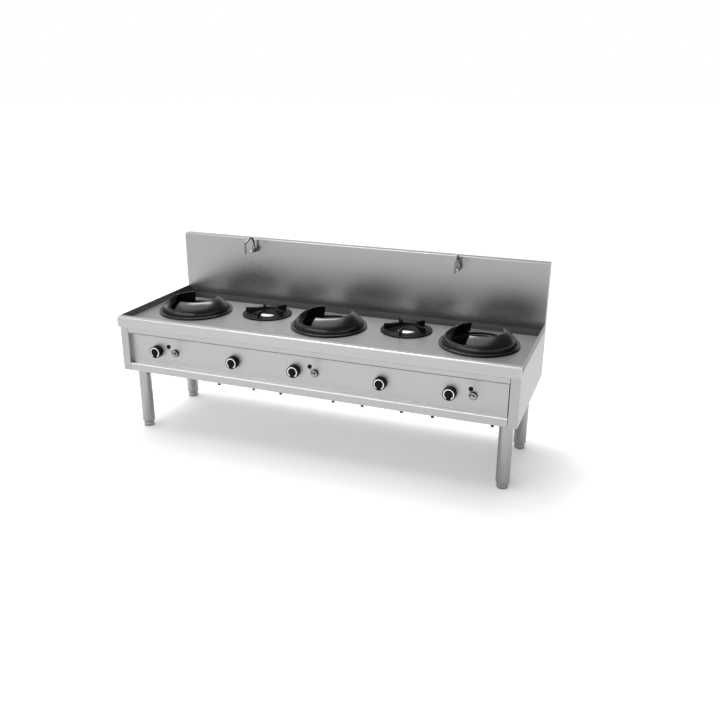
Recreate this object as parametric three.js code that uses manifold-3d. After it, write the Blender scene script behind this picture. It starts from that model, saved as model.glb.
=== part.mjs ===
// Gas wok range: a stainless steel table with three cast iron wok rings, two pan supports, a
// rear gutter, a splashback with two swivel taps, and a recessed panel of knobs and levers.
// Millimetres, +Z up, the front towards -Y, the floor at z = 0.

import * as THREE from 'three';
import { mergeVertices } from 'three/addons/utils/BufferGeometryUtils.js';
import Module from 'manifold-3d';

const wasm = await Module();
wasm.setup();

// ---- Driving dimensions ----

const WIDTH = 2400;
const DEPTH = 850;
const RIM_TOP = 742;
const SPLASH_TOP = 1100;
const BODY_BOTTOM = 400;
const SHEET = 2;
const GAP = 0.3;

const LIP_DEPTH = 40;
const LIP_DROP = 64;
const LIP_OVERHANG = 22;
const FLOOR_DEPTH = 37;
const RIM_SKIRT = 48;
const SPLASH_DEPTH = 55;
const GUTTER_WIDTH = 133;
const GUTTER_DEPTH = 65;

const STILE_WIDTH = 51;
const TOP_RAIL_HEIGHT = 41;
const BOTTOM_RAIL_HEIGHT = 48;
const PANEL_RECESS = 30;
const FLANGE = 28;

const RING_RADIUS = 225;
const RING_HEIGHT = 87;
const RING_Y = -28;
const RING_FLANGE = 57;
const FRONT_NOTCH = [180, 259.5];
const REAR_NOTCH = [27.5, 122.5];
const TRIVET_RADIUS = 152;
const TRIVET_HEIGHT = 41;
const TRIVET_FLANGE = 46;
const TRIVET_Y = 62;
const TRIVET_FINS = 5;
const FIN_THICKNESS = 9;

const KNOB_RADIUS = 33;
const KNOB_LENGTH = 39;
const KNOB_DROP = 99;
const LEVER_SHIFT = 56;
const LEVER_RISE = 62;
const LEVER_REACH = 38;
const BALL_RADIUS = 12.5;

const TAP_X = 674.5;
const TAP_DROP = 69;
const TAP_STANDOFF = 28;
const SPOUT_REACH = 115;
const SPOUT_RADIUS = 6;
const SPOUT_RISE = 58;

const LEG_RADIUS = 38;
const LEG_WALL = 2.5;
const LEG_PLATE = 50;
const FRONT_LEG_INSET = 125;
const REAR_LEG_INSET = 200;
const FOOT_RADIUS = 31;
const FOOT_HEIGHT = 34;
const SCREW_RADIUS = 8;
const SCREW_LENGTH = 55;

// The fixing studs under the lower rail, as shares of the width from the middle.
const STUD_SHARES = [-0.435, -0.23, -0.136, -0.064, 0.071, 0.143, 0.2375, 0.31, 0.445];
const STUD_RADIUS = 5;
const STUD_LENGTH = 17;
const STUD_INSET = 20;

// ---- Places worked out from them ----

const SIDE = WIDTH / 2;
const INSIDE = SIDE - SHEET - GAP;
const FRONT = -DEPTH / 2;
const BACK = DEPTH / 2;
const BURNER_PITCH = WIDTH * 0.1875;
const BODY_FRONT = FRONT + LIP_OVERHANG;
const FLOOR = RIM_TOP - FLOOR_DEPTH;
const LIP_BACK = FRONT + LIP_DEPTH;
const LIP_BOTTOM = RIM_TOP - LIP_DROP;
const SKIRT_BOTTOM = RIM_TOP - RIM_SKIRT;
const SPLASH_FRONT = BACK - SPLASH_DEPTH;
const GUTTER_FRONT = SPLASH_FRONT - GUTTER_WIDTH;
const GUTTER_FLOOR = FLOOR - GUTTER_DEPTH;
const PANEL_FACE = BODY_FRONT + PANEL_RECESS;
const PANEL_BOTTOM = BODY_BOTTOM + BOTTOM_RAIL_HEIGHT;
const PANEL_TOP = LIP_BOTTOM - TOP_RAIL_HEIGHT;
const RAIL_END = SIDE - STILE_WIDTH;
const KNOB_Z = PANEL_TOP - KNOB_DROP;
const DECK = BODY_BOTTOM + 10;
const LEG_X = SIDE - FLANGE - LEG_RADIUS - 6;
const FRONT_LEG_Y = FRONT + FRONT_LEG_INSET;
const REAR_LEG_Y = BACK - REAR_LEG_INSET;
const TAP_Z = SPLASH_TOP - TAP_DROP;
const TAP_Y = SPLASH_FRONT - TAP_STANDOFF;

const WOK_HOLE = RING_RADIUS - RING_FLANGE;
const TRIVET_HOLE = TRIVET_RADIUS - TRIVET_FLANGE;
const WOK_STEM = 28;
const TRIVET_STEM = 18;
const STEM_BOTTOM = FLOOR - 150;
const FEED_Z = FLOOR - 130;
const FEED_RADIUS = 6;
const WOK_WELL_DEPTH = 100;
const TRIVET_WELL_DEPTH = 22;
const PIPE_RADIUS = 12;
const VALVE_RADIUS = 15;
const VALVE_LENGTH = 38;
const PIPE_Y = PANEL_FACE + SHEET + VALVE_LENGTH + PIPE_RADIUS + 2 * GAP;
const SHAFT_RADIUS = 4;
const INLET_X = -SIDE + 130;
const DRAIN_X = SIDE - 150;
const DRAIN_Y = (GUTTER_FRONT + SPLASH_FRONT) / 2;
const DRAIN_RADIUS = 22;
const TAP_HOLE = 9;
const LEVER_HOLE = 13;
const LEVER_BODY_RADIUS = 21;
const LEVER_BODY_LENGTH = 25;

// How far a cutting shape runs past the face that it cuts.
const PAST = 10;

// Each burner: where it stands, what it carries, and where its knob and lever sit.
const BURNERS = [-2, -1, 0, 1, 2].map((step, index) => {
  const wok = step % 2 === 0;
  return {
    number: index + 1,
    wok,
    x: step * BURNER_PITCH,
    y: wok ? RING_Y : TRIVET_Y,
    hole: wok ? WOK_HOLE : TRIVET_HOLE,
    stem: wok ? WOK_STEM : TRIVET_STEM,
    knobX: step * BURNER_PITCH - (wok ? 67 : 4),
  };
});
const WOK_BURNERS = BURNERS.filter((burner) => burner.wok);

// ---- Materials ----

const metal = (color, roughness, metalness = 1) =>
  new THREE.MeshStandardMaterial({ color, roughness, metalness });
const STEEL = metal(0xc6c8ca, 0.32);
const STEEL_DARK = metal(0x8f9193, 0.4);
const CHROME = metal(0xd8dadc, 0.12);
const CAST_IRON = metal(0x232426, 0.45, 0.6);
const BRASS = metal(0xb08d4a, 0.35);
const BLACK_PLASTIC = metal(0x141416, 0.35, 0);

// ---- Geometry helpers ----

// A closed geometry as a solid that can be joined and cut.
function solid(geometry) {
  geometry.deleteAttribute('normal');
  geometry.deleteAttribute('uv');
  const merged = mergeVertices(geometry, 1e-4);
  const index = merged.index.array;
  const triangles = [];
  for (let i = 0; i < index.length; i += 3) {
    const [a, b, c] = [index[i], index[i + 1], index[i + 2]];
    if (a !== b && b !== c && c !== a) triangles.push(a, b, c);
  }
  const mesh = new wasm.Mesh({
    numProp: 3,
    vertProperties: Float32Array.from(merged.attributes.position.array),
    triVerts: Uint32Array.from(triangles),
  });
  return new wasm.Manifold(mesh);
}

function join(solids) {
  return solids.reduce((whole, next) => whole.add(next));
}

function cut(body, tools) {
  return tools.reduce((rest, tool) => rest.subtract(tool), body);
}

function block(x0, x1, y0, y1, z0, z1) {
  const geometry = new THREE.BoxGeometry(x1 - x0, y1 - y0, z1 - z0);
  return solid(geometry.translate((x0 + x1) / 2, (y0 + y1) / 2, (z0 + z1) / 2));
}

// A piece turned about +Z from [radius, height] points, up the outside and down the inside.
// An outline off the axis is closed back to its first point.
function turned(outline, segments = 24) {
  const points = outline.map(([radius, height]) => new THREE.Vector2(radius, height));
  if (points[0].x > 0) points.push(points[0].clone());
  return solid(new THREE.LatheGeometry(points, segments).rotateX(Math.PI / 2));
}

function disc(radius, z0, z1, segments = 24) {
  return turned([[0, z0], [radius, z0], [radius, z1], [0, z1]], segments);
}

function tube(outer, inner, z0, z1, segments = 24) {
  return turned([[inner, z0], [outer, z0], [outer, z1], [inner, z1]], segments);
}

// A piece built along +Z, turned to point at the front.
function facing(body) {
  return body.rotate([90, 0, 0]);
}

function rod(path, radius, steps) {
  const section = new THREE.Shape();
  section.absarc(0, 0, radius, 0, Math.PI * 2);
  const options = { steps, curveSegments: 4, bevelEnabled: false, extrudePath: path };
  return solid(new THREE.ExtrudeGeometry(section, options));
}

// A plate drawn in the x-z plane from [x, z] points, centred on y = 0.
function plate(points, thickness) {
  const outline = new THREE.Shape(points.map(([x, z]) => new THREE.Vector2(x, z)));
  const geometry = new THREE.ExtrudeGeometry(outline, { depth: thickness, bevelEnabled: false });
  return solid(geometry.translate(0, 0, -thickness / 2).rotateX(Math.PI / 2));
}

// A folded sheet: its closed section from [y, z] points, drawn along X.
function folded(section, x0, x1) {
  const outline = new THREE.Shape(section.map(([y, z]) => new THREE.Vector2(y, z)));
  const geometry = new THREE.ExtrudeGeometry(outline, { depth: x1 - x0, bevelEnabled: false });
  return solid(geometry.rotateX(Math.PI / 2).rotateZ(Math.PI / 2).translate(x0, 0, 0));
}

// A wedge of a turned shape between two azimuths, counted from +X towards +Y.
function sector(radius, from, to, z0, z1) {
  const outline = new THREE.Shape();
  outline.moveTo(0, 0);
  outline.absarc(0, 0, radius, THREE.MathUtils.degToRad(from), THREE.MathUtils.degToRad(to));
  outline.lineTo(0, 0);
  const options = { depth: z1 - z0, curveSegments: 12, bevelEnabled: false };
  return solid(new THREE.ExtrudeGeometry(outline, options).translate(0, 0, z0));
}

const range = new THREE.Group();

function add(name, material, body, x = 0, y = 0, z = 0) {
  const { vertProperties, triVerts } = body.getMesh();
  const geometry = new THREE.BufferGeometry();
  geometry.setAttribute('position', new THREE.BufferAttribute(vertProperties, 3));
  geometry.setIndex(new THREE.BufferAttribute(triVerts, 1));
  geometry.computeVertexNormals();
  const mesh = new THREE.Mesh(geometry, material);
  mesh.name = name;
  mesh.position.set(x, y, z);
  range.add(mesh);
}

// ---- Worktop, gutter and splashback ----

// The tray's floor, with the burner holes and a fold down into the gutter behind it.
function worktop() {
  const sheet = folded([
    [LIP_BACK + GAP, FLOOR - SHEET],
    [GUTTER_FRONT - SHEET, FLOOR - SHEET],
    [GUTTER_FRONT - SHEET, SKIRT_BOTTOM],
    [GUTTER_FRONT, SKIRT_BOTTOM],
    [GUTTER_FRONT, FLOOR],
    [LIP_BACK + GAP, FLOOR],
  ], -INSIDE, INSIDE);
  const holes = BURNERS.map(({ x, y, hole }) =>
    disc(hole, FLOOR - PAST, FLOOR + PAST, 36).translate([x, y, 0]));
  return cut(sheet, holes);
}

// The tray's front edge: a hollow fold that stands out over the body, closed at its ends.
function frontLip() {
  const returnEdge = BODY_FRONT + 8;
  const outer = block(-SIDE, SIDE, FRONT, LIP_BACK, LIP_BOTTOM, RIM_TOP);
  const room = folded([
    [returnEdge, LIP_BOTTOM - PAST],
    [LIP_BACK - SHEET, LIP_BOTTOM - PAST],
    [LIP_BACK - SHEET, RIM_TOP - SHEET],
    [FRONT + SHEET, RIM_TOP - SHEET],
    [FRONT + SHEET, LIP_BOTTOM + SHEET],
    [returnEdge, LIP_BOTTOM + SHEET],
  ], -SIDE + SHEET, SIDE - SHEET);
  return outer.subtract(room);
}

// The upright edge along each end of the tray, from the front lip to the splashback.
function sideRim(hand) {
  const [y0, y1] = [LIP_BACK + GAP, SPLASH_FRONT - GAP];
  const rim = block(SIDE - SHEET, SIDE, y0, y1, SKIRT_BOTTOM, RIM_TOP);
  return hand > 0 ? rim : rim.mirror([1, 0, 0]);
}

// A pair of end sheets, one at each side of the range, from one [y, z] outline.
function upright(outline, inset = 0) {
  const outer = SIDE - inset;
  return [folded(outline, -outer, -outer + SHEET), folded(outline, outer - SHEET, outer)];
}

// The trough behind the worktop, tucked under its rear fold and behind the splashback.
function rearGutter() {
  const front = GUTTER_FRONT - 2 * SHEET - GAP;
  const back = SPLASH_FRONT + 2 * SHEET + GAP;
  const inside = GUTTER_FLOOR + SHEET;
  const backRise = 15;
  const trough = folded([
    [front, GUTTER_FLOOR],
    [back, GUTTER_FLOOR],
    [back, FLOOR + backRise],
    [back - SHEET, FLOOR + backRise],
    [back - SHEET, inside],
    [front + SHEET, inside],
    [front + SHEET, FLOOR - SHEET - GAP],
    [front, FLOOR - SHEET - GAP],
  ], -INSIDE, INSIDE);
  const endTop = SKIRT_BOTTOM - GAP;
  const ends = upright([
    [front + 1, GUTTER_FLOOR + 1],
    [back - 1, GUTTER_FLOOR + 1],
    [back - 1, endTop],
    [front + 1, endTop],
  ], SHEET + GAP);
  const outlet = disc(DRAIN_RADIUS + 1, GUTTER_FLOOR - PAST, GUTTER_FLOOR + PAST);
  return join([trough, ...ends]).subtract(outlet.translate([DRAIN_X, DRAIN_Y, 0]));
}

// The waste outlet: a flange on the gutter floor and a pipe down through the deck.
function gutterDrain() {
  const top = GUTTER_FLOOR + SHEET + GAP;
  const bottom = BODY_BOTTOM - 12;
  const bore = DRAIN_RADIUS - 3;
  const flange = DRAIN_RADIUS + 12;
  return turned([
    [bore, bottom],
    [DRAIN_RADIUS, bottom],
    [DRAIN_RADIUS, top],
    [flange, top],
    [flange, top + 2],
    [bore, top + 2],
  ], 16);
}

// A folded splash: front sheet, top fold with a short rear lip, and an end sheet at each side.
function backsplash() {
  const bottom = SKIRT_BOTTOM + GAP;
  const rearLip = SPLASH_TOP - 25;
  const sheet = folded([
    [SPLASH_FRONT, FLOOR - SHEET],
    [SPLASH_FRONT + SHEET, FLOOR - SHEET],
    [SPLASH_FRONT + SHEET, SPLASH_TOP - SHEET],
    [BACK - SHEET, SPLASH_TOP - SHEET],
    [BACK - SHEET, rearLip],
    [BACK, rearLip],
    [BACK, SPLASH_TOP],
    [SPLASH_FRONT, SPLASH_TOP],
  ], -SIDE + 1, SIDE - 1);
  const ends = upright([
    [SPLASH_FRONT, bottom],
    [BACK, bottom],
    [BACK, SPLASH_TOP],
    [SPLASH_FRONT, SPLASH_TOP],
  ]);
  const tapHoles = [-TAP_X, TAP_X].map((x) =>
    facing(disc(TAP_HOLE, -PAST, PAST, 12)).translate([x, SPLASH_FRONT, TAP_Z]));
  return cut(join([sheet, ...ends]), tapHoles);
}

// ---- Body ----

// One folded side: outer sheet, front stile with its inner return, and a bottom flange.
function sidePanel(hand) {
  const [low, top] = [BODY_BOTTOM, LIP_BOTTOM - GAP];
  const sheet = block(SIDE - SHEET, SIDE, BODY_FRONT, BACK, low, top);
  const shoulder = block(SIDE - SHEET, SIDE, LIP_BACK + GAP, BACK, top - 5, SKIRT_BOTTOM - GAP);
  const stile = block(RAIL_END, SIDE, BODY_FRONT, BODY_FRONT + SHEET, low, top);
  const stileReturn = block(RAIL_END, RAIL_END + SHEET, BODY_FRONT, PANEL_FACE - GAP, low, top);
  const flange = block(SIDE - FLANGE, SIDE, BODY_FRONT, BACK, low, low + SHEET);
  const right = join([sheet, shoulder, stile, stileReturn, flange]);
  return hand > 0 ? right : right.mirror([1, 0, 0]);
}

// One sheet closes the back of the body and of the splash.
function backPanel() {
  const back = BACK - SHEET - GAP;
  const [bottom, top] = [BODY_BOTTOM + SHEET + GAP, SPLASH_TOP - SHEET - GAP];
  const panel = block(-INSIDE, INSIDE, back - SHEET, back, bottom, top);
  const inletHole = facing(disc(PIPE_RADIUS + 4, -PAST, PAST)).translate([INLET_X, BACK, KNOB_Z]);
  return panel.subtract(inletHole);
}

function deckPanel() {
  const [front, back] = [BODY_FRONT + SHEET + GAP, BACK - 2 * SHEET - 2 * GAP];
  const [low, high] = [DECK - PAST, DECK + PAST];
  const deck = block(-INSIDE, INSIDE, front, back, DECK, DECK + SHEET);
  const stileSlots = [-1, 1].map((hand) => {
    const [x0, x1] = [hand * (RAIL_END - GAP), hand * SIDE].sort((a, b) => a - b);
    return block(x0, x1, BODY_FRONT, PANEL_FACE, low, high);
  });
  const drainHole = disc(DRAIN_RADIUS + 2, low, high).translate([DRAIN_X, DRAIN_Y, 0]);
  return cut(deck, [...stileSlots, drainHole]);
}

// The recessed sheet that carries the knobs and levers.
function controlPanel() {
  const lap = 12;
  const end = RAIL_END + lap;
  const [bottom, top] = [PANEL_BOTTOM - lap, PANEL_TOP + lap];
  const sheet = block(-end, end, PANEL_FACE, PANEL_FACE + SHEET, bottom, top);
  const hole = (radius, x) =>
    facing(disc(radius, -PAST, PAST, 12)).translate([x, PANEL_FACE, KNOB_Z]);
  const shaftHoles = BURNERS.map(({ knobX }) => hole(SHAFT_RADIUS + 1, knobX));
  const leverHoles = WOK_BURNERS.map(({ x }) => hole(LEVER_HOLE, x + LEVER_SHIFT));
  return cut(sheet, [...shaftHoles, ...leverHoles]);
}

function topRail() {
  const end = RAIL_END - GAP;
  const top = LIP_BOTTOM - GAP;
  const foldBack = BODY_FRONT + 14;
  return folded([
    [BODY_FRONT, PANEL_TOP],
    [PANEL_FACE - GAP, PANEL_TOP],
    [PANEL_FACE - GAP, PANEL_TOP + SHEET],
    [BODY_FRONT + SHEET, PANEL_TOP + SHEET],
    [BODY_FRONT + SHEET, top - SHEET],
    [foldBack, top - SHEET],
    [foldBack, top],
    [BODY_FRONT, top],
  ], -end, end);
}

// The lower rail, with the ends of its fixing studs showing underneath.
function bottomRail() {
  const end = RAIL_END - GAP;
  const foldBack = BODY_FRONT + 36;
  const rail = folded([
    [BODY_FRONT, BODY_BOTTOM],
    [foldBack, BODY_BOTTOM],
    [foldBack, BODY_BOTTOM + SHEET],
    [BODY_FRONT + SHEET, BODY_BOTTOM + SHEET],
    [BODY_FRONT + SHEET, PANEL_BOTTOM - SHEET],
    [PANEL_FACE - GAP, PANEL_BOTTOM - SHEET],
    [PANEL_FACE - GAP, PANEL_BOTTOM],
    [BODY_FRONT, PANEL_BOTTOM],
  ], -end, end);
  const stud = disc(STUD_RADIUS, BODY_BOTTOM - STUD_LENGTH, BODY_BOTTOM + 1, 8);
  const studs = STUD_SHARES.map((share) =>
    stud.translate([share * WIDTH, BODY_FRONT + STUD_INSET, 0]));
  return join([rail, ...studs]);
}

// ---- Legs and feet ----

// A tube with a mounting plate on top and a plug for the foot's screw at the bottom.
function leg() {
  const [bottom, top] = [FOOT_HEIGHT + GAP, DECK - GAP];
  const wall = tube(LEG_RADIUS, LEG_RADIUS - LEG_WALL, bottom, top - 2, 16);
  const mounting = block(-LEG_PLATE, LEG_PLATE, -LEG_PLATE, LEG_PLATE, top - 4, top);
  const plug = disc(LEG_RADIUS - 1, bottom, bottom + 14, 16);
  const screwHole = disc(SCREW_RADIUS + 0.5, bottom - PAST, bottom + 2 * PAST, 16);
  const plateHole = disc(SCREW_RADIUS + 4, top - PAST, top + PAST, 8);
  return cut(join([wall, mounting, plug]), [screwHole, plateHole]);
}

function foot() {
  return turned([
    [0, 0],
    [FOOT_RADIUS - 6, 0],
    [FOOT_RADIUS, 6],
    [FOOT_RADIUS, FOOT_HEIGHT],
    [SCREW_RADIUS, FOOT_HEIGHT],
    [SCREW_RADIUS, FOOT_HEIGHT + SCREW_LENGTH],
    [0, FOOT_HEIGHT + SCREW_LENGTH],
  ], 16);
}

// ---- Burners ----

// The cast wok ring: a flat flange and a domed wall, cut low at the back and at the front left.
function wokRing() {
  const r = RING_RADIUS;
  const h = RING_HEIGHT;
  const dome = turned([
    [r - 44, 0],
    [r, 0],
    [r, 10],
    [r - 2, 12],
    [r - 18, 12],
    [r - 20, 6],
    [r - 22, 18],
    [r - 35, 46],
    [r - 52, h - 23],
    [r - 73, h - 8],
    [r - 91, h],
    [r - 95, h - 1],
    [r - 83, h - 27],
    [r - 76, h - 53],
    [r - 44, 12],
  ], 40);
  const inner = r - 130;
  const outer = r + PAST;
  const over = h + PAST;
  const slope = turned([[inner, 3], [outer, 66], [outer, over], [inner, over]], 40);
  const frontNotch = slope.intersect(sector(outer, ...FRONT_NOTCH, 0, over));
  const ledge = 12.5;
  const level = turned([[inner, ledge], [r - 20, ledge], [r - 20, over], [inner, over]], 40);
  const backNotch = level.intersect(sector(outer, ...REAR_NOTCH, 0, over));
  return cut(dome, [frontNotch, backNotch]);
}

// The pan support: a low stepped ring with fins that carry the pan, one pointing at the front.
function trivet() {
  const r = TRIVET_RADIUS;
  const h = TRIVET_HEIGHT;
  const base = turned([
    [r - 48, 0],
    [r, 0],
    [r, 7],
    [r - 5, 9],
    [r - 20, 9],
    [r - 24, 13],
    [r - 41, 14],
    [r - 45, 10],
    [r - 48, 4],
  ], 30);
  const finOutline = [
    [r - 38, 3],
    [r - 20, 3],
    [r - 20, h - 1],
    [r - 23, h],
    [r - 80, h],
    [r - 82, h - 8],
    [r - 48, 10],
  ];
  const fins = Array.from({ length: TRIVET_FINS }, (_, i) =>
    plate(finOutline, FIN_THICKNESS).rotate([0, 0, 270 + (i * 360) / TRIVET_FINS]));
  return join([base, ...fins]);
}

// The pot under each hole, hung from the worktop floor and open around the burner's stem.
function burnerWell({ wok, hole, stem }) {
  const top = -SHEET - GAP;
  const depth = wok ? WOK_WELL_DEPTH : TRIVET_WELL_DEPTH;
  const taper = wok ? 30 : 16;
  const side = hole - 2;
  return turned([
    [stem + 8, -depth],
    [side - taper, -depth],
    [side, top - SHEET],
    [side + 18, top - SHEET],
    [side + 18, top],
    [side - SHEET, top],
    [side - taper - SHEET, SHEET - depth],
    [stem + 8, SHEET - depth],
  ], 20);
}

function burnerHead({ wok, stem }) {
  const head = wok ? 78 : 40;
  const top = wok ? -45 : -4;
  const height = wok ? 28 : 13;
  return turned([
    [0, STEM_BOTTOM - FLOOR],
    [stem, STEM_BOTTOM - FLOOR],
    [stem, top - height],
    [head - 6, top - height],
    [head, top - height + 5],
    [head, top - 5],
    [head - 6, top],
    [stem, top],
    [0, top],
  ], 16);
}

// ---- Gas line ----

// A main across the panel, with an elbow at its left end to the inlet in the back panel.
function gasMain() {
  const main = disc(PIPE_RADIUS, INLET_X, SIDE - 200, 12).rotate([0, 90, 0]);
  const elbow = solid(new THREE.SphereGeometry(PIPE_RADIUS + 3, 12, 8)).translate([INLET_X, 0, 0]);
  const inlet = facing(disc(PIPE_RADIUS, PIPE_Y - BACK + SHEET, 0, 12)).translate([INLET_X, 0, 0]);
  return join([main, elbow, inlet]).translate([0, PIPE_Y, KNOB_Z]);
}

// A gas cock behind the panel, with the knob's shaft in front and the feed pipe to its burner.
function gasValve({ x, y, stem, knobX }) {
  const start = SHEET + GAP;
  const body = facing(disc(VALVE_RADIUS, -start - VALVE_LENGTH, -start, 12));
  const shaft = facing(disc(SHAFT_RADIUS, -start - 2, 22, 10));
  const cock = join([body, shaft]).translate([knobX, PANEL_FACE, KNOB_Z]);
  const outletY = PANEL_FACE + start + VALVE_LENGTH / 2;
  const path = new THREE.CatmullRomCurve3([
    new THREE.Vector3(knobX, outletY, KNOB_Z + VALVE_RADIUS - 4),
    new THREE.Vector3(knobX, outletY, FEED_Z - 12),
    new THREE.Vector3(knobX, outletY + 12, FEED_Z),
    new THREE.Vector3(x, y - stem - 60, FEED_Z),
    new THREE.Vector3(x, y - stem - GAP, FEED_Z),
  ], false, 'centripetal');
  return cock.add(rod(path, FEED_RADIUS, 10));
}

// ---- Controls ----

// A round knob with a raised ring on its face and a grip bar from the ring's middle to its edge.
function knob() {
  const r = KNOB_RADIUS;
  const face = KNOB_LENGTH;
  const body = turned([
    [0, 1],
    [r, 1],
    [r, face - 2],
    [r - 2, face],
    [r - 4, face],
    [r - 4, face + 1.5],
    [r - 9, face + 1.5],
    [r - 9, face],
    [0, face],
  ], 20);
  const grip = block(-6.5, 6.5, -r + 1.5, r * 0.35, face - 5, face + 5);
  const shaftHole = disc(SHAFT_RADIUS + 0.5, 0, 24, 10);
  return facing(join([body, grip]).subtract(shaftHole));
}

// The chrome lever cock: a collar in front of the panel and its body behind.
function leverValve() {
  const stem = LEVER_HOLE - 1;
  return facing(turned([
    [0, -40],
    [stem, -40],
    [stem, GAP],
    [LEVER_BODY_RADIUS - 2, GAP],
    [LEVER_BODY_RADIUS, 3],
    [LEVER_BODY_RADIUS, LEVER_BODY_LENGTH - 4],
    [LEVER_BODY_RADIUS - 4, LEVER_BODY_LENGTH],
    [0, LEVER_BODY_LENGTH],
  ], 20));
}

// A hub on the collar, and a thin arm that leans up and forward to a ball.
function lever() {
  const start = LEVER_BODY_LENGTH + GAP;
  const hub = facing(disc(12, start, start + 8, 16));
  const foot = new THREE.Vector3(0, -start - 4, 0);
  const ballCentre = new THREE.Vector3(0, -start - 4 - LEVER_REACH, LEVER_RISE);
  const arm = rod(new THREE.LineCurve3(foot, ballCentre), 2.6, 1);
  const ball = solid(new THREE.SphereGeometry(BALL_RADIUS, 12, 8));
  return join([hub, arm, ball.translate(ballCentre.toArray())]);
}

// ---- Taps ----

// The tap body: a rose on the splash, a shank behind it, and an upright valve in front.
function tapBody() {
  const shank = facing(disc(TAP_HOLE - 1, -30, TAP_STANDOFF, 12));
  const rose = facing(turned([[0, GAP], [15, GAP], [15, 4], [11, 9], [0, 9]], 16));
  const upright = turned([
    [0, -14],
    [8, -14],
    [10.5, -10],
    [10.5, 26],
    [8, 31],
    [0, 31],
  ], 16).translate([0, -TAP_STANDOFF, 0]);
  return join([shank, rose, upright]);
}

// A swan neck on a collar: straight up, over and down to an upright outlet.
function spout() {
  const reach = SPOUT_REACH;
  const rise = SPOUT_RISE;
  const collar = disc(8.5, 0, 8, 16);
  const path = new THREE.CatmullRomCurve3([
    new THREE.Vector3(0, 0, 1),
    new THREE.Vector3(0, 0, rise * 0.35),
    new THREE.Vector3(0, -reach * 0.12, rise * 0.78),
    new THREE.Vector3(0, -reach * 0.3, rise - SPOUT_RADIUS),
    new THREE.Vector3(0, -reach * 0.55, rise * 0.82),
    new THREE.Vector3(0, -reach * 0.9, rise * 0.52),
    new THREE.Vector3(0, -reach, rise * 0.3),
    new THREE.Vector3(0, -reach, -rise * 0.55),
  ], false, 'centripetal');
  return collar.add(rod(path, SPOUT_RADIUS, 16));
}

function tapHandle() {
  return facing(turned([
    [0, GAP],
    [5, GAP],
    [5, 8],
    [8, 10],
    [9, 14],
    [9, 26],
    [7, 29],
    [0, 29],
  ], 16));
}

// ---- Assembly ----

add('worktop', STEEL, worktop());
add('front_lip', STEEL, frontLip());
add('left_rim', STEEL, sideRim(-1));
add('right_rim', STEEL, sideRim(1));
add('rear_gutter', STEEL_DARK, rearGutter());
add('gutter_drain', STEEL_DARK, gutterDrain(), DRAIN_X, DRAIN_Y);
add('backsplash', STEEL, backsplash());
add('left_side_panel', STEEL, sidePanel(-1));
add('right_side_panel', STEEL, sidePanel(1));
add('back_panel', STEEL_DARK, backPanel());
add('deck_panel', STEEL_DARK, deckPanel());
add('control_panel', STEEL, controlPanel());
add('top_rail', STEEL, topRail());
add('bottom_rail', STEEL, bottomRail());

const LEGS = {
  front_left: [-LEG_X, FRONT_LEG_Y],
  front_right: [LEG_X, FRONT_LEG_Y],
  rear_left: [-LEG_X, REAR_LEG_Y],
  rear_right: [LEG_X, REAR_LEG_Y],
};
for (const [corner, [x, y]] of Object.entries(LEGS)) {
  add(`${corner}_leg`, STEEL, leg(), x, y);
  add(`${corner}_foot`, STEEL_DARK, foot(), x, y);
}

for (const burner of BURNERS) {
  const { number, wok, x, y, knobX } = burner;
  const kind = wok ? 'wok' : 'pan';
  const carrier = wok ? wokRing() : trivet();
  add(wok ? `wok_ring_${number}` : `pan_support_${number}`, CAST_IRON, carrier, x, y, FLOOR + GAP);
  add(`${kind}_well_${number}`, STEEL_DARK, burnerWell(burner), x, y, FLOOR);
  add(`${kind}_burner_${number}`, CAST_IRON, burnerHead(burner), x, y, FLOOR);
  add(`gas_valve_${number}`, BRASS, gasValve(burner));
  add(`knob_${number}`, BLACK_PLASTIC, knob(), knobX, PANEL_FACE, KNOB_Z);
}
add('gas_main', STEEL_DARK, gasMain());

for (const { number, x } of WOK_BURNERS) {
  add(`lever_valve_${number}`, CHROME, leverValve(), x + LEVER_SHIFT, PANEL_FACE, KNOB_Z);
  add(`lever_${number}`, CHROME, lever(), x + LEVER_SHIFT, PANEL_FACE, KNOB_Z);
}

for (const [side, x, swing] of [['left', -TAP_X, 0], ['right', TAP_X, 5]]) {
  add(`${side}_tap`, CHROME, tapBody(), x, SPLASH_FRONT, TAP_Z);
  add(`${side}_spout`, CHROME, spout().rotate([0, 0, swing]), x, TAP_Y, TAP_Z + 31 + GAP);
  add(`${side}_tap_handle`, CHROME, tapHandle(), x, TAP_Y - 10.5, TAP_Z);
}

// The origin is on the floor under the middle of the whole range.
const box = new THREE.Box3().setFromObject(range);
range.position.set(-(box.min.x + box.max.x) / 2, -(box.min.y + box.max.y) / 2, 0);

export default range;
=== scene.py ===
"""Looks of the wok range: brushed steel body, cast wok rings, pan supports, knobs, levers, taps.

Shapes are written in millimetres, in the CAD model's own measures, and are scaled to metres
when a piece is finished.
"""

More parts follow.
